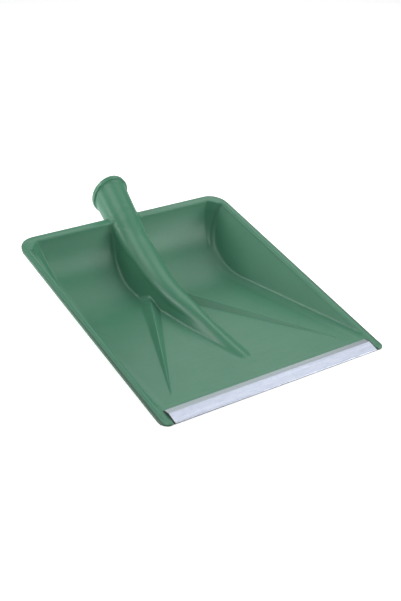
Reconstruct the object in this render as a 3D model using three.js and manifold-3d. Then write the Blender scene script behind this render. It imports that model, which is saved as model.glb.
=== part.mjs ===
// Head of a light snow shovel: one green polypropylene scoop moulding with a handle
// socket, and a folded aluminium strip closed over its front lip.
// Millimetres, +Z up, +X across the width. The shapes are drawn with y = 0 at the front
// edge and z = 0 on the ground, and the group moves the origin under the middle of the box.

import * as THREE from 'three';
import { mergeVertices } from 'three/addons/utils/BufferGeometryUtils.js';
import Module from 'manifold-3d';

const wasm = await Module();
wasm.setup();

const radians = THREE.MathUtils.degToRad;
const vec = (x, y, z) => new THREE.Vector3(x, y, z);

// ---------------------------------------------------------------- driving dimensions

const WIDTH = 350;                     // over the rim
const LENGTH = 396;                    // front edge to back edge of the rim, in plan
const WALL = 3;                        // moulded wall thickness
const GAP = 0.3;                       // clearance between the two pieces

const FLOOR_Z = 5.1;                   // top of the flat floor
const RIM_SLOPE = Math.tan(radians(14.1));
const RIM_START_Z = 0.3;               // height of the sloping rim line at y = 0
const RIM_LEVEL_Z = 2.8;               // the rim runs level at this height round the front corners
const RIM_THICKNESS = 2.8;
const LIP_DEPTH = 4;                   // edge of the rim, turned down
const BACK_CORNER = 27;                // plan radii of the rim's corners
const FRONT_CORNER = 9.9;

const SIDE_FLANGE = 9.5;
const BACK_FLANGE = 12;
const SIDE_LEAN = radians(25);         // side walls, from the vertical
const FLOOR_FILLET = 7;
const WALL_START_Y = 271.7;            // where the floor starts to curve up into the back wall
const SCOOP_START_Y = 19.5;            // where the rim rises above the floor
const LIP_START_Y = 4.6;               // thin front end of the lip inside the strip

const NECK = { y: 428.5, z: 119.8 };   // centre of the socket where its collar starts
const SOCKET_SLOPE = radians(39.5);    // socket axis above the horizontal
const MOUTH_TILT = radians(16);        // normal of the collar's end faces above the horizontal
const SOCKET_RADIUS = 26.4;            // outside, at the neck
const SOCKET_TAPER = 0.035;            // radius lost per millimetre of axis
const SOCKET_DEPTH = 116;
const BORE_RADIUS = 22.4;
const BORE_TAPER = 0.04;
const COLLAR_RADIUS = 29.2;
const COLLAR_THICKNESS = 7.2;
const COLLAR_LIFT = 1.9;               // collar's centre above the neck's, along its faces

const RIDGE_BEND = { y: 291, z: 38.6, reach: 62, tail: 0.123 };
const BEND_START_Y = RIDGE_BEND.y - RIDGE_BEND.reach;
const RIDGE = [                        // half width where the flanks start, and crest in front of the bend
  { y: 74, half: 1.5, top: 5.5 }, { y: 78, half: 5.5, top: 6.5 }, { y: 84, half: 7.8, top: 7.4 },
  { y: 92, half: 9.4, top: 8.1 }, { y: 105, half: 11.2, top: 9.7 }, { y: 130, half: 13.4, top: 13.3 },
  { y: 154, half: 14.8, top: 17.5 }, { y: 179, half: 15.6, top: 22.1 }, { y: 204, half: 15.9, top: 26.4 },
  { y: BEND_START_Y, half: 16.3, top: 31 }, { y: 290, half: 18.9 }, { y: 345, half: 22.6 },
  { y: 391, half: 25 },                // its back end lies inside the socket's tube
];
const FLANK_DRAFT = 0.45;              // outward lean of the ridge's flanks, per millimetre
const CAP_SHARE = 0.7;                 // height of the ridge's rounded top over its half width
const ROUND_FROM_Y = 328;              // from here to its back end the top grows to a full round
const HOLLOW_FROM_Y = 130;             // the ridge is solid in front of this
const HOLLOW_BELOW = 14;               // its hollow reaches this far below the scoop's surface

const RIB_ROOT = { x: 13, y: 305 };    // inside the ridge
const RIB_TIP = { x: 137, y: 43 };
const RIB_HALF = 12.6;
const RIB_HEIGHT = 10.6;

const STRIP_HALF = 160.8;
const STRIP_SHEET = 0.9;
const STRIP_CREST = { y: 15.3, z: 7.4 };
const STRIP_HEM = { y: 25.3, z: 6.5 };
const STRIP_UNDERLAP_Y = 21;

// ---------------------------------------------------------------- helpers

/** A closed BufferGeometry as a manifold solid, turned so that its faces point out. */
function toSolid(geometry) {
  const bare = geometry.clone();
  bare.deleteAttribute('normal');
  bare.deleteAttribute('uv');
  const merged = mergeVertices(bare, 1e-4);
  const points = new Float32Array(merged.getAttribute('position').array);
  const triangles = new Uint32Array(merged.getIndex().array);
  const [a, b, c] = [vec(), vec(), vec()];
  let volume = 0;
  for (let i = 0; i < triangles.length; i += 3) {
    a.fromArray(points, 3 * triangles[i]);
    b.fromArray(points, 3 * triangles[i + 1]);
    c.fromArray(points, 3 * triangles[i + 2]);
    volume += a.dot(b.cross(c));
  }
  if (volume < 0) {
    for (let i = 0; i < triangles.length; i += 3) {
      [triangles[i], triangles[i + 1]] = [triangles[i + 1], triangles[i]];
    }
  }
  return new wasm.Manifold(new wasm.Mesh({ numProp: 3, vertProperties: points, triVerts: triangles }));
}

/** A manifold solid as a BufferGeometry with flat faces. */
function toGeometry(solid) {
  const mesh = solid.getMesh();
  const geometry = new THREE.BufferGeometry();
  geometry.setAttribute('position', new THREE.BufferAttribute(new Float32Array(mesh.vertProperties), 3));
  geometry.setIndex(new THREE.BufferAttribute(new Uint32Array(mesh.triVerts), 1));
  geometry.computeVertexNormals();
  return geometry;
}

/** A solid skinned over closed, convex rings of equally many points. */
function loft(rings) {
  const count = rings[0].length;
  const index = [];
  for (let i = 0; i < rings.length - 1; i++) {
    for (let j = 0; j < count; j++) {
      const next = (j + 1) % count;
      const [a, b] = [i * count + j, i * count + next];
      index.push(a, b, b + count, a, b + count, a + count);
    }
  }
  const last = (rings.length - 1) * count;
  for (let j = 1; j < count - 1; j++) {
    index.push(0, j + 1, j, last, last + j, last + j + 1);
  }
  const geometry = new THREE.BufferGeometry();
  geometry.setFromPoints(rings.flat());
  geometry.setIndex(index);
  return toSolid(geometry);
}

/** A prism across the width from a closed outline in the YZ plane. */
function acrossWidth(outline, halfWidth) {
  const shape = new THREE.Shape(outline.map((p) => new THREE.Vector2(p.y, p.z)));
  const geometry = new THREE.ExtrudeGeometry(shape, { depth: 2 * halfWidth, bevelEnabled: false });
  const turn = new THREE.Matrix4().makeBasis(vec(0, 1, 0), vec(0, 0, 1), vec(1, 0, 0));
  geometry.applyMatrix4(turn).translate(-halfWidth, 0, 0);
  return geometry;
}

/** Numbers from first to last in equal steps, both included. */
const steps = (first, last, count) =>
  Array.from({ length: count + 1 }, (_, i) => first + ((last - first) * i) / count);

const mirrored = (ring) => ring.map((p) => vec(-p.x, p.y, p.z)).reverse();

// ---------------------------------------------------------------- the scoop

const rimZ = (y) => Math.max(RIM_LEVEL_Z, RIM_START_Z + RIM_SLOPE * y);

const INNER_HALF = WIDTH / 2 - SIDE_FLANGE;
const INNER_BACK = LENGTH - BACK_FLANGE;
const INNER_CORNER = BACK_CORNER - SIDE_FLANGE;

/** The floor and back wall seen from the side: a straight floor, then a quarter of an
    ellipse that ends upright under the back flange. offset moves it outwards. */
function floorProfile(startY, offset) {
  const run = INNER_BACK - WALL_START_Y;
  const rise = rimZ(INNER_BACK) - FLOOR_Z;
  const flat = [{ y: startY, z: FLOOR_Z - offset }];
  const curve = steps(0, radians(87), 14).map((angle) => {
    const out = new THREE.Vector2(rise * Math.sin(angle), -run * Math.cos(angle)).setLength(offset);
    return {
      y: WALL_START_Y + run * Math.sin(angle) + out.x,
      z: FLOOR_Z + rise * (1 - Math.cos(angle)) + out.y,
    };
  });
  return flat.concat(curve);
}

/** Half the width at rim height, drawn in round the back corners. */
function halfAtRim(y, offset) {
  const radius = INNER_CORNER + offset;
  const into = Math.max(0, y - (INNER_BACK - INNER_CORNER));
  const side = INNER_HALF + offset / Math.cos(SIDE_LEAN) - radius;
  return side + Math.sqrt(Math.max(0, radius ** 2 - into ** 2));
}

/** Cross-section of the scoop at one station: leaning sides and rounded lower corners. */
function scoopRing(station, offset, top, overshoot) {
  const half = halfAtRim(station.y, offset);
  const depth = Math.max(0.05, top - station.z);
  const corner = half - depth * Math.tan(SIDE_LEAN);
  const turn = Math.PI / 2 - SIDE_LEAN;
  const tangent = Math.tan(turn / 2);
  const radius = Math.min(FLOOR_FILLET + offset, (0.9 * depth) / Math.cos(SIDE_LEAN) / tangent);
  const floorEdge = corner - radius * tangent;
  const side = steps(0, turn, 5).map((angle) =>
    vec(floorEdge + radius * Math.sin(angle), station.y, station.z + radius * (1 - Math.cos(angle))));
  side.push(vec(half, station.y, top), vec(half, station.y, top + overshoot));
  return side.concat(mirrored(side));
}

function scoopHollow() {
  return loft(floorProfile(SCOOP_START_Y, 0).map((s) => scoopRing(s, 0, rimZ(s.y), 40)));
}

function scoopOutside() {
  const start = SCOOP_START_Y - 6;
  return loft(floorProfile(start, WALL).map((s) => scoopRing(s, WALL, rimZ(s.y) - 1.4, 0.6)));
}

/** Plan outline of the rim, drawn in by inset. */
function rimOutline(inset) {
  const [x, back] = [WIDTH / 2 - inset, LENGTH - inset];
  const [rear, front] = [BACK_CORNER - inset, FRONT_CORNER - inset];
  const shape = new THREE.Shape();
  shape.absarc(x - front, inset + front, front, -Math.PI / 2, 0, false);
  shape.absarc(x - rear, back - rear, rear, 0, Math.PI / 2, false);
  shape.absarc(rear - x, back - rear, rear, Math.PI / 2, Math.PI, false);
  shape.absarc(front - x, inset + front, front, Math.PI, 1.5 * Math.PI, false);
  return shape;
}

/** A plate of the rim's outline, its top face following the rim's slope. */
function rimPlate(inset, depth, drop) {
  const options = { depth, bevelEnabled: false, curveSegments: 7 };
  const geometry = new THREE.ExtrudeGeometry(rimOutline(inset), options);
  geometry.translate(0, 0, -depth - drop);
  const position = geometry.getAttribute('position');
  for (let i = 0; i < position.count; i++) {
    position.setZ(i, position.getZ(i) + rimZ(position.getY(i)));
  }
  return toSolid(geometry);
}

/** The flat flange and its turned-down edge, trimmed at ground level. */
function rim() {
  const edge = rimPlate(0, LIP_DEPTH, 0).subtract(rimPlate(RIM_THICKNESS, LIP_DEPTH, RIM_THICKNESS));
  const underground = new THREE.BoxGeometry(2 * WIDTH, 2 * LENGTH, 20).translate(0, LENGTH / 2, -10);
  return edge.subtract(toSolid(underground));
}

// ---------------------------------------------------------------- ridge and socket

/** One value of the ridge at y, in straight lines between its stations. */
function ridgeValue(y, key) {
  const next = RIDGE.findIndex((station, i) => i > 0 && y <= station.y);
  const [from, to] = [RIDGE[next - 1], RIDGE[next]];
  return THREE.MathUtils.mapLinear(y, from.y, to.y, from[key], to[key]);
}

/** Height of the ridge's crest: a low front, a rounded bend, then straight up the socket. */
function crestZ(y) {
  if (y < BEND_START_Y) return ridgeValue(y, 'top');
  const { y: cornerY, z: cornerZ, reach, tail } = RIDGE_BEND;
  const climb = Math.tan(SOCKET_SLOPE);
  if (y > cornerY + reach) return cornerZ + climb * (y - cornerY);
  const t = (y - cornerY + reach) / (2 * reach);
  return cornerZ - tail * reach * (1 - t) ** 2 + climb * reach * t ** 2;
}

/** Height of the scoop's inner surface on the centre line. */
function surfaceZ(y) {
  const run = INNER_BACK - WALL_START_Y;
  const into = THREE.MathUtils.clamp((y - WALL_START_Y) / run, 0, 0.99);
  return FLOOR_Z + (rimZ(INNER_BACK) - FLOOR_Z) * (1 - Math.sqrt(1 - into ** 2));
}

/** An arch: a half ellipse on leaning flanks, from base level up to the crest. */
function archRing(y, half, crest, rise, base) {
  const spring = Math.max(base + 0.2, crest - rise);
  const top = steps(0, Math.PI, 12).map((angle) =>
    vec(half * Math.cos(angle), y, spring + (crest - spring) * Math.sin(angle)));
  const foot = half + FLANK_DRAFT * (spring - base);
  return [vec(foot, y, base), ...top, vec(-foot, y, base)];
}

/** The ridge on the floor and wall; inset draws its hollow, which is open below. */
function ridge(inset) {
  const front = inset > 0 ? HOLLOW_FROM_Y : RIDGE[0].y;
  const back = RIDGE.at(-1).y;
  const nose = RIDGE.map((station) => station.y).filter((y) => y >= front && y < BEND_START_Y);
  const climb = steps(BEND_START_Y, back - 4 * inset, 12);
  const below = inset > 0 ? HOLLOW_BELOW : 0.5 * WALL;
  return loft([...nose, ...climb].map((y) => {
    const slope = Math.atan(crestZ(y + 1) - crestZ(y));
    const half = ridgeValue(y, 'half') - inset;
    const share = THREE.MathUtils.lerp(CAP_SHARE, 1, Math.max(0, y - ROUND_FROM_Y) / (back - ROUND_FROM_Y));
    const rise = Math.min(share * half / Math.cos(slope), 0.8 * (crestZ(y) - FLOOR_Z) + 0.2);
    return archRing(y, half, crestZ(y) - inset / Math.cos(slope), rise, surfaceZ(y) - below);
  }));
}

const MOUTH_NORMAL = vec(0, Math.cos(MOUTH_TILT), Math.sin(MOUTH_TILT));
const MOUTH_UP = vec(0, -Math.sin(MOUTH_TILT), Math.cos(MOUTH_TILT));

/** Ring of a round shape around the socket's axis, cut by a plane tilted like the mouth. */
function tiltedRing(centre, radius, segments) {
  const tall = radius / Math.cos(SOCKET_SLOPE - MOUTH_TILT);
  return steps(0, 2 * Math.PI, segments).slice(0, -1).map((angle) => {
    const side = vec(radius * Math.cos(angle), 0, 0);
    return side.add(centre).addScaledVector(MOUTH_UP, tall * Math.sin(angle));
  });
}

/** Point of the socket's axis at a distance below the neck. */
function socketPoint(depth) {
  return vec(0, NECK.y - depth * Math.cos(SOCKET_SLOPE), NECK.z - depth * Math.sin(SOCKET_SLOPE));
}

function socketOutside() {
  const tube = loft(steps(-1, SOCKET_DEPTH, 5).map((depth) =>
    tiltedRing(socketPoint(depth), SOCKET_RADIUS - SOCKET_TAPER * depth, 28)));
  const centre = socketPoint(0).addScaledVector(MOUTH_UP, COLLAR_LIFT);
  const collar = loft([0, COLLAR_THICKNESS].map((along) =>
    tiltedRing(centre.clone().addScaledVector(MOUTH_NORMAL, along), COLLAR_RADIUS, 28)));
  return tube.add(collar);
}

function socketBore() {
  return loft([-2 * COLLAR_THICKNESS, 0, SOCKET_DEPTH + 4].map((depth) =>
    tiltedRing(socketPoint(depth), BORE_RADIUS - BORE_TAPER * Math.max(0, depth), 28)));
}

// ---------------------------------------------------------------- ribs

/** One rib, a low ridge that fades out towards a front corner; side is 1 or -1. */
function rib(side, inset) {
  const root = new THREE.Vector2(side * RIB_ROOT.x, RIB_ROOT.y);
  const tip = new THREE.Vector2(side * RIB_TIP.x, RIB_TIP.y);
  const across = tip.clone().sub(root).normalize().rotateAround(new THREE.Vector2(), Math.PI / 2);
  const reach = inset > 0 ? 0.66 : 1;
  return loft(steps(0, reach, 5).map((along) => {
    const half = Math.max(0.6, RIB_HALF * (1 - along) - 0.6 * inset);
    const crest = FLOOR_Z + Math.max(0.2, RIB_HEIGHT * (1 - along)) - inset;
    const base = FLOOR_Z - (inset > 0 ? 8 : 0.5 * WALL);
    const centre = root.clone().lerp(tip, along);
    return archRing(0, half, crest, 0.45 * (crest - base), base).map((p) =>
      vec(centre.x + p.x * across.x, centre.y + p.x * across.y, p.z));
  }));
}

// ---------------------------------------------------------------- front lip and strip

/** The strip's sheet as a line through its thickness, offset to one side of it. */
function stripLine(offset) {
  const half = STRIP_SHEET / 2;
  const slope = Math.atan2(STRIP_CREST.z - 1, STRIP_CREST.y - 1);
  const hem = Math.atan2(STRIP_HEM.z - STRIP_CREST.z, STRIP_HEM.y - STRIP_CREST.y);
  const nose = { y: 1.2, z: 1.2, r: 1.2 - half };
  const bend = { y: STRIP_CREST.y + 0.6, z: STRIP_CREST.z - 2.2, r: 2.1 - half };
  const arc = (c, from, to, count) => steps(from, to, count).map((angle) => ({
    y: c.y + (c.r + offset) * Math.cos(angle), z: c.z + (c.r + offset) * Math.sin(angle),
  }));
  return [
    { y: STRIP_UNDERLAP_Y, z: half - offset },
    ...arc(nose, 1.5 * Math.PI, Math.PI / 2 + slope, 5),
    ...arc(bend, Math.PI / 2 + slope, Math.PI / 2 + hem, 3),
    { y: STRIP_HEM.y + offset * Math.sin(-hem), z: STRIP_HEM.z - half + offset },
  ];
}

function stripSolid() {
  const outline = stripLine(STRIP_SHEET / 2).concat(stripLine(-STRIP_SHEET / 2).reverse());
  return acrossWidth(outline, STRIP_HALF);
}

/** Room for the strip: what the moulding gives up above its lip and below it. */
function stripRoom() {
  const top = 20;
  const above = [{ y: -5, z: -5 }, { y: 5, z: -5 }, { y: SCOOP_START_Y, z: FLOOR_Z },
    { y: SCOOP_START_Y, z: top }, { y: -5, z: top }];
  const below = [{ y: -5, z: -5 }, { y: STRIP_UNDERLAP_Y + GAP, z: -5 },
    { y: STRIP_UNDERLAP_Y + GAP, z: STRIP_SHEET + GAP }, { y: -5, z: STRIP_SHEET + GAP }];
  return [above, below].map((outline) => toSolid(acrossWidth(outline, STRIP_HALF + GAP)));
}

/** The wedge-shaped plastic lip that the strip is folded over. */
function frontLip() {
  const low = STRIP_SHEET + GAP;
  const slope = (STRIP_CREST.z - 1) / (STRIP_CREST.y - 1);
  const back = SCOOP_START_Y + 2;
  const outline = [{ y: LIP_START_Y, z: low }, { y: back, z: low }, { y: back, z: FLOOR_Z },
    { y: LIP_START_Y + (FLOOR_Z - low) / slope, z: FLOOR_Z }];
  return toSolid(acrossWidth(outline, STRIP_HALF + GAP + 1));
}

// ---------------------------------------------------------------- the two pieces

function bladeSolid() {
  const walls = rim().add(scoopOutside()).subtract(scoopHollow());
  const [above, below] = stripRoom();
  const lipped = walls.subtract(above).add(frontLip()).subtract(below);
  const ribs = [1, -1].map((side) => [rib(side, 0), rib(side, WALL)]);
  let body = lipped.add(ridge(0));
  ribs.forEach(([outside]) => { body = body.add(outside); });
  body = body.subtract(ridge(WALL));
  ribs.forEach(([, hollow]) => { body = body.subtract(hollow); });
  return body.add(socketOutside()).subtract(socketBore());
}

const greenPlastic = new THREE.MeshStandardMaterial({ color: 0x5d8f78, roughness: 0.5, metalness: 0 });
const aluminium = new THREE.MeshStandardMaterial({ color: 0xd9dee8, roughness: 0.35, metalness: 1 });

const blade = new THREE.Mesh(toGeometry(bladeSolid()), greenPlastic);
blade.name = 'blade';

const edgeStrip = new THREE.Mesh(stripSolid(), aluminium);
edgeStrip.name = 'edge_strip';

const shovelHead = new THREE.Group();
shovelHead.add(blade, edgeStrip);
const bounds = new THREE.Box3().setFromObject(shovelHead);
shovelHead.position.set(0, -(bounds.min.y + bounds.max.y) / 2, -bounds.min.z);

export default shovelHead;
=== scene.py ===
"""Looks of the snow shovel head: one green moulding and a folded aluminium edge strip."""

import math

import bpy
import numpy as np
from mathutils import Matrix, Vector


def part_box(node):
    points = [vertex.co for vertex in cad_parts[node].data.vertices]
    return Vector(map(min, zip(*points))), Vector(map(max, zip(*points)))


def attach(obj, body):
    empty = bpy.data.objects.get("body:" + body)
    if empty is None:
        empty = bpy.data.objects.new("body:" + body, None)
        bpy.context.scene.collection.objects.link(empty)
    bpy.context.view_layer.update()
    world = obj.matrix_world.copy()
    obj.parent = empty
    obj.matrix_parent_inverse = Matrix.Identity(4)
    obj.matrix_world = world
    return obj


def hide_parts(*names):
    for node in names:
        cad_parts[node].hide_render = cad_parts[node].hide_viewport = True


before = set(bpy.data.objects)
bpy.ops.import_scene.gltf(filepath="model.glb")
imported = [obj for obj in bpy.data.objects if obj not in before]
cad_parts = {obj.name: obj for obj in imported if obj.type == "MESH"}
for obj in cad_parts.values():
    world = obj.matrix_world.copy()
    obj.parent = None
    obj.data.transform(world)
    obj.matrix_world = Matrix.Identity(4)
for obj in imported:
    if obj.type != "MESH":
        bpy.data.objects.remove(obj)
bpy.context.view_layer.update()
FRONT_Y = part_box("blade")[0].y * 1000  # the shapes below are drawn from the front edge, in mm

# ------------------------------------------------------------------ dimensions, mm

HALF_WIDTH, LENGTH = 175.0, 396.0
SKIN = 3.0
FLOOR_Z = 5.1
WALL_START, WALL_RUN, WALL_RISE = 271.7, 112.4, 91.6

# The rim slopes up from the front; its inner edge and outer edge are rounded.
RIM_SLOPE = math.tan(math.radians(14.1))
RIM_START_Z, RIM_FRONT_Z, RIM_TOP_Z = 0.3, 2.6, 97.0
RIM_THICK, LIP_THICK, LIP_DEPTH = 3.0, 3.0, 5.4
RIM_ROUND, INNER_ROUND = 1.3, 1.4
FRONT_CORNER, BACK_CORNER = 11.0, 27.0

# The side walls lean outwards and meet the floor in a narrow sloping band.
SIDE_LEAN = math.radians(26)
INNER_HALF = 165.5
BAND_TURN, BAND_DEPTH, BAND_ROUND = math.radians(27), 2.9, 2.2

# A facet in each back corner grows from CORNER_FROM_Z to the rim.
CORNER_FROM_Z, CORNER_WIDE, CORNER_DEEP, CORNER_GAP = 33.0, 10.0, 11.0, 7.0

# The socket's axis runs down from its neck; the collar's face is tilted the other way.
NECK = (428.5, 119.8)
SOCKET_SLOPE = math.radians(39.5)
MOUTH_TILT = math.radians(16)
NECK_RADIUS, NECK_TAPER, SOCKET_DEPTH = 26.4, 0.035, 118.0
BORE_RADIUS, BORE_TAPER = 22.4, 0.04
COLLAR_RADIUS, COLLAR_THICK, COLLAR_LIFT = 29.2, 7.2, 1.9
NECK_FILLET = 4.5

# The ridge's crest bends from a gentle slope into the socket's slope.
BEND_Y, BEND_Z, BEND_REACH, TAIL_SLOPE = 291.0, 38.6, 62.0, 0.123
CLIMB = math.tan(SOCKET_SLOPE)
FLANK_DRAFT = 0.45
TUBE_FROM_Y, TUBE_BLEND = 330, 50
STEEP_FROM_Y, STEEP_BLEND = 165, 70

RIB_TIP, RIB_ROOT = (137.0, 43.0), (30.9, 265.6)
RIB_HALF, RIB_HEIGHT, RIB_GROWTH = 12.4, 10.3, 0.85
EXTRA_SKIN = 1.2  # where a slanting face would make the moulding thinner

STRIP_HALF, SHEET, SHEET_GAP, END_GAP = 160.8, 0.9, 0.3, 1.1
LEG_END_Y = 21.0
CREST_Y, CREST_Z, HEM_Y, HEM_Z = 15.3, 7.4, 25.3, 6.5

VOXEL, MOST_TRIANGLES = 1.6, 188000

# ------------------------------------------------------------------ fields


def step(t):
    t = np.clip(t, 0, 1)
    return t * t * (3 - 2 * t)


def meet(a, b, r):
    """Intersection of two distances, the edge between them rounded to radius r."""
    return np.minimum(np.maximum(a, b), -r) + np.hypot(np.maximum(a + r, 0), np.maximum(b + r, 0))


def join(a, b, r):
    """Union of two distances, the corner between them filled to radius r."""
    return -meet(-a, -b, r)


def rim_height(y):
    line = RIM_START_Z + RIM_SLOPE * y
    return 0.5 * (line + RIM_FRONT_Z + np.hypot(line - RIM_FRONT_Z, 1.2))


def rib_height(x, y):
    """Height of the two ribs over the floor."""
    dx, dy = RIB_ROOT[0] - RIB_TIP[0], RIB_ROOT[1] - RIB_TIP[1]
    length = math.hypot(dx, dy)
    px, py = np.abs(x) - RIB_TIP[0], y - RIB_TIP[1]
    along = (px * dx + py * dy) / length**2
    across = (px * dy - py * dx) / length
    share = np.clip(along, 0.02, 1.2)
    slant = 1.02 - np.sqrt((across / (RIB_HALF * share)) ** 2 + 0.02 + 0.003 / (share + 0.05))
    bump = 0.5 * (slant + np.sqrt(slant**2 + 0.002))
    fade = step(along / 0.03) * step((1.28 - along) / 0.1)
    return RIB_HEIGHT * share**RIB_GROWTH * np.minimum(bump, 1) * fade


def pan_distance(x, y, z):
    """Outside distances from the scoop's inner skin, with and without its corner bands and facets."""
    back = np.maximum(y - WALL_START, 0)
    low = np.minimum(z - FLOOR_Z - WALL_RISE, 0)
    k0 = np.hypot(back / WALL_RUN, low / WALL_RISE) + 1e-6
    k1 = np.hypot(back / WALL_RUN**2, low / WALL_RISE**2) + 1e-9
    profile = k0 * (k0 - 1) / k1
    slope = math.atan(RIM_SLOPE)
    n = np.array([math.cos(slope) * math.cos(SIDE_LEAN), math.sin(slope) * math.sin(SIDE_LEAN),
                  -math.cos(slope) * math.sin(SIDE_LEAN)])
    n /= np.linalg.norm(n)
    side = (np.abs(x) - INNER_HALF) * n[0] + y * n[1] + (z - RIM_START_Z) * n[2]
    radius = np.clip(0.8 * (RIM_START_Z + RIM_SLOPE * y - FLOOR_Z), 0.6, BAND_ROUND)
    band = profile * math.cos(BAND_TURN) + side * math.sin(BAND_TURN)
    band = band + BAND_DEPTH * radius / BAND_ROUND
    lift = np.clip((z - CORNER_FROM_Z) / (RIM_TOP_Z - CORNER_FROM_Z), 0, 1)
    facet = np.clip((side + CORNER_GAP + CORNER_WIDE * lift) / (CORNER_WIDE * lift + 1), 0, 1)
    deep = CORNER_DEEP * lift * facet * step((y - 290) / 40)
    detailed = meet(meet(profile + deep, side, radius), band + deep, radius)
    return detailed, meet(profile, side, 2 * radius)


STATIONS = np.arange(40, 470, 0.5)


def table(*pairs):
    """A smooth curve through (y, value) pairs, sampled at STATIONS."""
    line = np.interp(STATIONS, *zip(*pairs))
    kernel = np.hanning(19) / np.hanning(19).sum()
    return np.convolve(np.pad(line, 9, "edge"), kernel, "valid")


# The ridge's half width, the low dome's half width and rise, and the fillet at their foot.
RIDGE_HALF = table((92, 8), (120, 10), (175, 13.5), (230, 16.2), (290, 18.9), (320, 20.6),
                   (345, 22.6), (370, 24.3), (384, 24.9), (460, 27.7))
DOME_HALF = np.interp(STATIONS, *zip(
    (74, 0.5), (76, 4.0), (79, 6.0), (84, 7.8), (92, 9.4), (105, 11.2),
    (130, 13.6), (154, 16), (179, 18.6), (204, 22), (230, 26), (300, 33)))
DOME_RISE = table((60, -4), (74, -0.5), (78, 1.4), (84, 2.3), (92, 3.0), (105, 4.6),
                  (130, 8.2), (154, 12.4), (175, 16.4), (200, 20.6), (229, 25.8), (300, 50))
RIDGE_FILLET = table((70, 1.0), (90, 2.0), (140, 2.6), (240, 3.2))


def crest(y):
    """Height and slope of the ridge's crest where it has turned into the socket's tube."""
    t = np.clip((y - BEND_Y + BEND_REACH) / (2 * BEND_REACH), 0, 1)
    before, after = np.minimum(y - BEND_Y, -BEND_REACH), np.maximum(y - BEND_Y, BEND_REACH)
    inside = (np.abs(y - BEND_Y) < BEND_REACH)
    curve = -TAIL_SLOPE * BEND_REACH * (1 - t) ** 2 + CLIMB * BEND_REACH * t**2
    height = BEND_Z + np.where(inside, curve, np.where(y < BEND_Y, TAIL_SLOPE * before, CLIMB * after))
    return height, TAIL_SLOPE + (CLIMB - TAIL_SLOPE) * t


def along_socket(y, z):
    """Distance down the socket's axis from its neck, and height above that axis."""
    dy, dz = y - NECK[0], z - NECK[1]
    sine, cosine = math.sin(SOCKET_SLOPE), math.cos(SOCKET_SLOPE)
    return -dy * cosine - dz * sine, dz * cosine - dy * sine


def ridge_distance(x, y, z):
    """Distance from the ridge: a low dome at the front that grows a round top on steep flanks."""
    height, slope = crest(y)
    half = np.interp(y, STATIONS, RIDGE_HALF)
    depth, above = along_socket(y, z)
    tube = step((y - TUBE_FROM_Y) / TUBE_BLEND)
    tube_radius = NECK_RADIUS - NECK_TAPER * depth - 0.3 * step((y - 384) / 12)
    half = half + (tube_radius - half) * tube
    cap = half * (1 - 0.3 * step((380 - y) / 55))
    q = (z - height) / np.sqrt(1 + slope**2) + cap
    q = q + (above - q) * tube
    k0 = np.hypot(x / half, q / cap) + 1e-6
    k1 = np.hypot(x / half**2, q / cap**2) + 1e-9
    lean = FLANK_DRAFT * (np.hypot(np.minimum(q, 0), 4) - 4)
    flank = (np.abs(x) - half - lean) / math.hypot(1, FLANK_DRAFT)
    steep = np.where(q > 0, k0 * (k0 - 1) / k1, flank)
    foot, rise = np.interp(y, STATIONS, DOME_HALF), np.interp(y, STATIONS, DOME_RISE)
    share = np.minimum(np.abs(x) / foot, 1.6)
    bulge = np.maximum(rise, 0.02)
    dome = (z - FLOOR_Z - bulge * (1 - share**2)) / np.hypot(1, 2 * bulge * share / foot)
    dome += bulge - rise + 0.5 * np.maximum(np.abs(x) - 1.6 * foot, 0)
    turn = step((y - STEEP_FROM_Y) / STEEP_BLEND)
    return dome + (steep - dome) * turn


def outline_distance(x, y):
    """Distance from the rim's outline in plan."""
    middle = LENGTH / 2
    r = np.where(y > middle, BACK_CORNER, FRONT_CORNER)
    a = np.abs(x) - HALF_WIDTH + r
    b = np.abs(y - middle) - middle + r
    return np.hypot(np.maximum(a, 0), np.maximum(b, 0)) + np.minimum(np.maximum(a, b), 0) - r


def socket_distances(x, y, z):
    """Distances from the outside of the socket with its collar, and from its bore."""
    dy, dz = y - NECK[0], z - NECK[1]
    depth, above = along_socket(y, z)
    radial = np.hypot(x, above)
    along = dy * math.cos(MOUTH_TILT) + dz * math.sin(MOUTH_TILT)
    up = dz * math.cos(MOUTH_TILT) - dy * math.sin(MOUTH_TILT) - COLLAR_LIFT
    outside = NECK_RADIUS - NECK_TAPER * depth - 1.0 * step((depth - 50) / 20)
    tube = np.maximum(radial - outside, np.maximum(depth - SOCKET_DEPTH, along - 1))
    tall = COLLAR_RADIUS / math.cos(SOCKET_SLOPE - MOUTH_TILT)
    k0 = np.hypot(x / COLLAR_RADIUS, up / tall) + 1e-6
    k1 = np.hypot(x / COLLAR_RADIUS**2, up / tall**2) + 1e-9
    slab = np.abs(along - COLLAR_THICK / 2) - COLLAR_THICK / 2
    collar = meet(k0 * (k0 - 1) / k1, slab, 1.3)
    bore_side = radial - BORE_RADIUS + BORE_TAPER * np.maximum(depth, 0)
    bore = np.maximum(bore_side, depth - SOCKET_DEPTH - 8)
    return join(tube, collar, 1.0), bore


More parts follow.
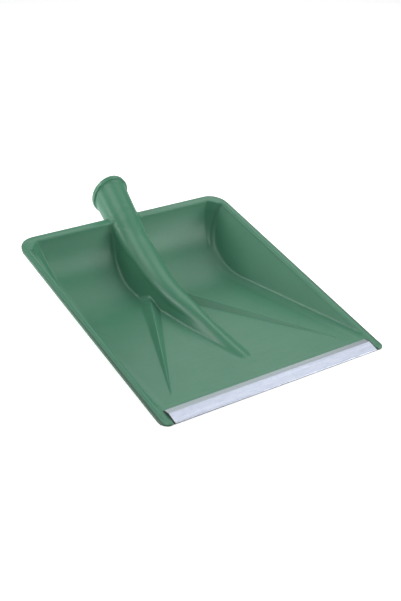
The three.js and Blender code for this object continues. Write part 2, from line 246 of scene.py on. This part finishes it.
def moulding(x, y, z):
    """Signed distance, roughly, from the green moulding."""
    rib = rib_height(x, y)
    pan, smooth_pan = pan_distance(x, y, z - rib)
    ridge = ridge_distance(x, y, z)
    fillet = np.interp(y, STATIONS, RIDGE_FILLET)
    skin, outer_skin = meet(pan, -ridge, fillet), meet(smooth_pan, -ridge, fillet)
    thick = SKIN + EXTRA_SKIN * np.maximum(step(rib / 3), step((8 - ridge) / 6))
    top = (z - rim_height(y)) * math.cos(math.atan(RIM_SLOPE))
    shell = np.maximum(meet(-skin, np.minimum(top, ridge), INNER_ROUND), outer_skin - thick)
    outline = outline_distance(x, y)
    shell = np.maximum(shell, outline)
    edge = meet(outline, top, RIM_ROUND)
    plate = np.maximum(meet(edge, -pan, INNER_ROUND), -top - RIM_THICK)
    lip = meet(edge, np.maximum(-outline - LIP_THICK, -top - LIP_DEPTH), INNER_ROUND)
    socket, bore = socket_distances(x, y, z)
    rim = join(join(plate, lip, 0.6), socket, NECK_FILLET)
    body = np.maximum(join(rim, shell, 1.0), np.maximum(-bore, -z))
    under_strip = np.maximum(z - SHEET - SHEET_GAP, y - LEG_END_Y - SHEET_GAP)
    room = np.maximum(np.abs(x) - STRIP_HALF - END_GAP, np.minimum(under_strip, y - 3.6))
    return np.maximum(body, -room)


# ------------------------------------------------------------------ mesh from a field


def gradient(field, p, h=0.25):
    g = np.empty_like(p)
    for k in range(3):
        a, b = p.copy(), p.copy()
        a[:, k] += h
        b[:, k] -= h
        g[:, k] = (field(*a.T) - field(*b.T)) / (2 * h)
    return g


def settle(field, p, rounds):
    """Moves points onto the field's zero surface."""
    for _ in range(rounds):
        value = field(*p.T)
        g = gradient(field, p)
        move = value[:, None] * g / np.maximum((g * g).sum(1), 0.1)[:, None]
        size = np.linalg.norm(move, axis=1)
        p = p - move * np.minimum(1, 0.6 * VOXEL / np.maximum(size, 1e-9))[:, None]
    return p


def surface_nets(field, low, high, cell):
    """Quads around the zero surface of a field."""
    axes = [np.arange(a, b + cell, cell) for a, b in zip(low, high)]
    x, y = np.meshgrid(axes[0], axes[1], indexing="ij")
    value = np.empty([len(a) for a in axes], np.float32)
    for k, z in enumerate(axes[2]):
        value[:, :, k] = field(x, y, np.full_like(x, z))
    inside = value < 0
    corners = [(i, j, k) for i in (0, 1) for j in (0, 1) for k in (0, 1)]
    n = [len(a) - 1 for a in axes]

    def part(grid, c):
        return grid[c[0]:c[0] + n[0], c[1]:c[1] + n[1], c[2]:c[2] + n[2]]

    count = sum(part(inside, c).astype(np.int8) for c in corners)
    active = (count > 0) & (count < 8)
    cells = np.argwhere(active)
    index = np.full(n, -1, np.int64)
    index[active] = np.arange(len(cells))
    v = np.array([part(value, c)[active] for c in corners])
    total, hits = np.zeros((len(cells), 3)), np.zeros(len(cells))
    for a, ca in enumerate(corners):
        for b, cb in enumerate(corners):
            if b <= a or sum(p != q for p, q in zip(ca, cb)) != 1:
                continue
            cut = (v[a] < 0) != (v[b] < 0)
            t = np.where(cut, v[a] / np.where(cut, v[a] - v[b], 1), 0)[:, None]
            total += np.where(cut[:, None], np.array(ca) + t * (np.array(cb) - np.array(ca)), 0)
            hits += cut
    points = (cells + total / hits[:, None]) * cell + np.array([a[0] for a in axes])
    quads = []
    for axis in range(3):
        e = np.eye(3, dtype=int)
        u, w = e[(axis + 1) % 3], e[(axis + 2) % 3]
        first = inside[tuple(slice(0, s - d) for s, d in zip(inside.shape, e[axis]))]
        second = inside[tuple(slice(d, s) for s, d in zip(inside.shape, e[axis]))]
        for flip in (False, True):
            edges = np.argwhere((first & ~second) if not flip else (~first & second))
            edges = edges[(edges[:, (axis + 1) % 3] > 0) & (edges[:, (axis + 2) % 3] > 0)]
            ring = [edges, edges - u, edges - u - w, edges - w]
            quad = np.stack([index[tuple(r.T)] for r in ring], 1)
            quads.append(quad[:, ::-1] if flip else quad)
    return points, np.concatenate(quads)


def make_object(name, points, faces):
    """An object from points in mm measured from the front edge."""
    mesh = bpy.data.meshes.new(name)
    placed = (np.asarray(points) + np.array([0, FRONT_Y, 0])) / 1000
    mesh.from_pydata(placed.tolist(), [], [list(map(int, f)) for f in faces])
    mesh.update()
    o = bpy.data.objects.new(name, mesh)
    bpy.context.scene.collection.objects.link(o)
    return o


def mesh_points(mesh):
    co = np.empty(len(mesh.vertices) * 3, np.float64)
    mesh.vertices.foreach_get("co", co)
    return co.reshape(-1, 3) * 1000 - np.array([0, FRONT_Y, 0])


def build_moulding():
    points, quads = surface_nets(moulding, (-178, -4, -3), (178, 450, 160), VOXEL)
    points = settle(moulding, points, 3)
    raw = make_object("moulding", points, quads)
    modifier = raw.modifiers.new("thin out", "DECIMATE")
    modifier.ratio = min(1.0, MOST_TRIANGLES / (2 * len(quads)))
    evaluated = raw.evaluated_get(bpy.context.evaluated_depsgraph_get())
    mesh = bpy.data.meshes.new_from_object(evaluated)
    raw.modifiers.clear()
    raw.data = mesh
    p = settle(moulding, mesh_points(mesh), 2)
    mesh.vertices.foreach_set("co", ((p + np.array([0, FRONT_Y, 0])) / 1000).ravel())
    mesh.shade_smooth()
    normals = gradient(moulding, p, 0.4)
    normals /= np.maximum(np.linalg.norm(normals, axis=1), 1e-9)[:, None]
    mesh.normals_split_custom_set_from_vertices(normals.tolist())
    print("moulding", len(quads), "quads", len(mesh.polygons), "faces")
    return raw


# ------------------------------------------------------------------ strip


def strip_line(offset):
    """The folded sheet's middle line in YZ, moved to one side of it by offset."""
    half = SHEET / 2
    slope = math.atan2(CREST_Z - 1, CREST_Y - 1)
    hem = math.atan2(HEM_Z - CREST_Z, HEM_Y - CREST_Y)

    def arc(cy, cz, r, start, end, count):
        a = np.linspace(start, end, count)
        return np.stack([cy + (r + offset) * np.cos(a), cz + (r + offset) * np.sin(a)], 1)

    return np.concatenate([
        [[LEG_END_Y, half - offset]],
        arc(1.2, 1.2, 1.2 - half, 1.5 * math.pi, math.pi / 2 + slope, 10),
        arc(CREST_Y + 0.6, CREST_Z - 2.2, 2.1 - half, math.pi / 2 + slope, math.pi / 2 + hem, 6),
        [[HEM_Y - offset * math.sin(hem), HEM_Z - half + offset]],
    ])


def build_strip():
    outer, inner = strip_line(SHEET / 2), strip_line(-SHEET / 2)
    ring = np.concatenate([outer, inner[::-1]])
    count, stations = len(ring), np.linspace(-STRIP_HALF, STRIP_HALF, 61)
    points = np.concatenate([np.column_stack([np.full(count, s), ring]) for s in stations])
    faces = []
    for i in range(len(stations) - 1):
        for j in range(count):
            a, b = i * count + j, i * count + (j + 1) % count
            faces.append((a, b, b + count, a + count))
    half = len(outer)
    for base, turn in ((0, 1), ((len(stations) - 1) * count, -1)):
        for j in range(half - 1):
            quad = (base + j, base + count - 1 - j, base + count - 2 - j, base + j + 1)
            faces.append(quad[::turn])
    return make_object("folded_strip", points, faces)


# ------------------------------------------------------------------ materials


# The last green is painted shade for the rim's lip and the front corners.
GREEN, LIGHT_GREEN, FLECK, PAINTED_SHADE_GREEN = (
    (0.063, 0.228, 0.136), (0.076, 0.250, 0.152), (0.12, 0.30, 0.20), (0.012, 0.035, 0.020))
# Of these metals, the hem colour is a painted dark reflection and the darkest is painted shade.
METAL, LIGHT_METAL, HEM_PAINTED_REFLECTION, PAINTED_SHADE_METAL = (
    (0.48, 0.53, 0.64), (0.56, 0.60, 0.70), (0.40, 0.46, 0.49), (0.06, 0.06, 0.06))
WHITE, LIGHT_WHITE = (0.84, 0.84, 0.84), (0.86, 0.86, 0.86)


class Nodes:
    """Short hand for building a node material."""

    def __init__(self, name):
        self.material = bpy.data.materials.new(name)
        self.material.use_nodes = True
        self.tree = self.material.node_tree
        self.tree.nodes.clear()
        self.shader = self.add("ShaderNodeBsdfPrincipled")
        out = self.add("ShaderNodeOutputMaterial")
        self.link(self.shader.outputs[0], out.inputs["Surface"])
        self.place = self.add("ShaderNodeTexCoord").outputs["Object"]

    def add(self, kind, **values):
        node = self.tree.nodes.new(kind)
        for key, value in values.items():
            setattr(node, key, value)
        return node

    def link(self, a, b):
        self.tree.links.new(a, b)

    def noise(self, scale, detail=3.0, rough=0.5, stretch=(1, 1, 1)):
        mapping = self.add("ShaderNodeMapping")
        mapping.inputs["Scale"].default_value = stretch
        self.link(self.place, mapping.inputs["Vector"])
        node = self.add("ShaderNodeTexNoise")
        node.inputs["Scale"].default_value = scale
        node.inputs["Detail"].default_value = detail
        node.inputs["Roughness"].default_value = rough
        self.link(mapping.outputs[0], node.inputs["Vector"])
        return node.outputs[0]

    def math(self, operation, *values):
        node = self.add("ShaderNodeMath", operation=operation)
        for socket, value in zip(node.inputs, values):
            self.link(value, socket)
        return node.outputs[0]

    def split(self):
        """The place's x, y and z."""
        node = self.add("ShaderNodeSeparateXYZ")
        self.link(self.place, node.inputs[0])
        return node.outputs

    def spread(self, value, low, high, start=0.3, end=0.7):
        node = self.add("ShaderNodeMapRange")
        for key, number in zip(("From Min", "From Max", "To Min", "To Max"), (start, end, low, high)):
            node.inputs[key].default_value = number
        self.link(value, node.inputs["Value"])
        return node.outputs[0]

    def between(self, value, low, high, start, end):
        """Low before start and high after end, both in mm."""
        return self.spread(value, low, high, start / 1000, end / 1000)

    def blend(self, share, a, b):
        node = self.add("ShaderNodeMix", data_type="RGBA")
        self.link(share, node.inputs["Factor"])
        for socket, colour in ((node.inputs[6], a), (node.inputs[7], b)):
            if isinstance(colour, tuple):
                socket.default_value = (*colour, 1)
            else:
                self.link(colour, socket)
        return node.outputs[2]

    def bump(self, height, distance, strength, under=None):
        node = self.add("ShaderNodeBump")
        node.inputs["Distance"].default_value = distance
        node.inputs["Strength"].default_value = strength
        self.link(height, node.inputs["Height"])
        if under is not None:
            self.link(under, node.inputs["Normal"])
        return node.outputs[0]


def lip_painted_shade(n):
    """Painted shade along the rim's outer edge: full on the turned-down lip, less on the rounding over
    it, weaker towards the back, and a painted shadow at the front corners by the floor beyond the
    strip's ends.
    """
    rim_zero = RIM_START_Z - RIM_SLOPE * FRONT_Y
    below = n.add("ShaderNodeVectorMath", operation="DOT_PRODUCT")
    n.link(n.place, below.inputs[0])
    below.inputs[1].default_value = (0, -RIM_SLOPE, 1)
    x, y, z = n.split()
    reach = n.math("ABSOLUTE", x)
    low = n.between(below.outputs["Value"], 1, 0, rim_zero - 2.0, rim_zero - 0.8)
    outer = n.between(reach, 0, 1, HALF_WIDTH - 1.2, HALF_WIDTH - 0.6)
    edge = n.between(reach, 0, 0.62, HALF_WIDTH - 4.5, HALF_WIDTH - 1.5)
    fade = n.between(y, 1, 0.3, -100, 120)
    ground = n.between(z, 1, 0, 1.5, 2.4)
    corner = n.between(reach, 0, 1, STRIP_HALF, STRIP_HALF + 0.5)
    sides = n.math("MULTIPLY", fade, n.math("MAXIMUM", edge, n.math("MULTIPLY", low, outer)))
    return n.math("MAXIMUM", sides, n.math("MULTIPLY", ground, corner))


def green_plastic():
    n = Nodes("green polypropylene")
    cloud = n.noise(9, 2)
    fine = n.noise(260, 3, 0.6)
    scuff = n.noise(60, 4, 0.6, (0.7, 5, 5))
    colour = n.blend(n.spread(cloud, 0, 1), GREEN, LIGHT_GREEN)
    colour = n.blend(n.spread(fine, 0, 0.12), colour, FLECK)
    # The rim's lip, its outer rounding and the front corners are darkened with painted shade.
    n.link(n.blend(lip_painted_shade(n), colour, PAINTED_SHADE_GREEN), n.shader.inputs["Base Color"])
    n.link(n.spread(scuff, 0.32, 0.41), n.shader.inputs["Roughness"])
    n.shader.inputs["IOR"].default_value = 1.5
    pebble = n.bump(fine, 0.0002, 0.35)
    n.link(n.bump(scuff, 0.0003, 0.06, pebble), n.shader.inputs["Normal"])
    return n.material


def strip_metal():
    n = Nodes("mill aluminium")
    lines = n.noise(420, 3, 0.6, (0.02, 1, 1))
    cloud = n.noise(90, 3, 0.6, (1, 2, 2))
    colour = n.blend(n.spread(cloud, 0, 1), METAL, LIGHT_METAL)
    x, y, z = n.split()
    # The hem behind the crest is painted greyer, a painted dark reflection.
    colour = n.blend(n.between(y, 0, 1, FRONT_Y + 15.2, FRONT_Y + 16), colour, HEM_PAINTED_REFLECTION)
    # The strip's ends and the underside of its front fold get painted shade.
    end = n.between(n.math("ABSOLUTE", x), 0, 1, STRIP_HALF - 1.6, STRIP_HALF - 1.2)
    under, front = n.between(z, 1, 0, 1.2, 1.7), n.between(y, 1, 0, FRONT_Y + 2, FRONT_Y + 3)
    colour = n.blend(n.math("MAXIMUM", end, n.math("MULTIPLY", under, front)), colour, PAINTED_SHADE_METAL)
    n.link(colour, n.shader.inputs["Base Color"])
    n.shader.inputs["Metallic"].default_value = 1.0
    n.link(n.spread(lines, 0.26, 0.38), n.shader.inputs["Roughness"])
    n.link(n.bump(cloud, 0.0006, 0.12, n.bump(lines, 0.0001, 0.3)), n.shader.inputs["Normal"])
    return n.material


def paper():
    n = Nodes("pale floor")
    grain = n.noise(30, 2)
    n.link(n.blend(grain, WHITE, LIGHT_WHITE), n.shader.inputs["Base Color"])
    n.shader.inputs["Roughness"].default_value = 0.9
    n.shader.inputs["Emission Color"].default_value = (1, 1, 1, 1)
    n.shader.inputs["Emission Strength"].default_value = 0.70
    return n.material


# ------------------------------------------------------------------ assembly

shell = build_moulding()
shell.data.materials.append(green_plastic())
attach(shell, "root")
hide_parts("blade")

strip = build_strip()
strip.data.materials.append(strip_metal())
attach(strip, "root")
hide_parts("edge_strip")

bpy.ops.mesh.primitive_plane_add(size=60, location=(0, 0, -0.0005))
floor = bpy.context.object
floor.name = "studio_floor"
floor.data.materials.append(paper())

# ------------------------------------------------------------------ light and camera

SOFTBOXES = (  # azimuth from +X and height in degrees, size in m, power in W
    (20, 55, 1.6, 12),  # mirrored towards the camera by the strip's face
    (60, 30, 1.6, 9),  # mirrored by the floor
    (200, 70, 1.6, 22),  # from above, mirrored by neither
    (315, 35, 1.2, 18),  # front right
    (135, 35, 1.2, 18),  # back left
    (320, 10, 0.75, 18),  # low, front right
    (170, 10, 0.75, 18),  # low, left
)
SOFTBOX_AWAY, SOFTBOX_AIM_Z = 2.5, 0.06


def softbox(azimuth, height, size, power):
    """A square area light at the given angles in degrees, turned towards the object."""
    data = bpy.data.lights.new("softbox", "AREA")
    data.shape, data.size, data.energy = "SQUARE", size, power
    a, b = math.radians(azimuth), math.radians(height)
    way = Vector((math.cos(b) * math.cos(a), math.cos(b) * math.sin(a), math.sin(b)))
    o = bpy.data.objects.new("softbox", data)
    o.location = SOFTBOX_AWAY * way + Vector((0, 0, SOFTBOX_AIM_Z))
    o.rotation_euler = (-way).to_track_quat("-Z", "Y").to_euler()
    bpy.context.scene.collection.objects.link(o)


world = bpy.data.worlds.new("studio")
world.use_nodes = True
world.node_tree.nodes["Background"].inputs[0].default_value = (1, 1, 1, 1)
world.node_tree.nodes["Background"].inputs[1].default_value = 0.0
bpy.context.scene.world = world
for light in SOFTBOXES:
    softbox(*light)

YAW, PITCH = math.radians(33.98), math.radians(26.23)
right = Vector((math.cos(YAW), -math.sin(YAW), 0))
up = Vector((math.sin(YAW) * math.sin(PITCH), math.cos(YAW) * math.sin(PITCH), math.cos(PITCH)))
toward = right.cross(up)
camera_data = bpy.data.cameras.new("camera")
camera_data.lens, camera_data.sensor_width = 60.09, 36.0
camera_data.clip_end = 50
camera = bpy.data.objects.new("camera", camera_data)
camera.matrix_world = Matrix.Translation((-0.6904, -0.8396 + FRONT_Y / 1000, 0.6520)) @ Matrix(
    (right, up, toward)).transposed().to_4x4()
bpy.context.scene.collection.objects.link(camera)
bpy.context.scene.camera = camera
bpy.context.scene.view_settings.view_transform = "Standard"
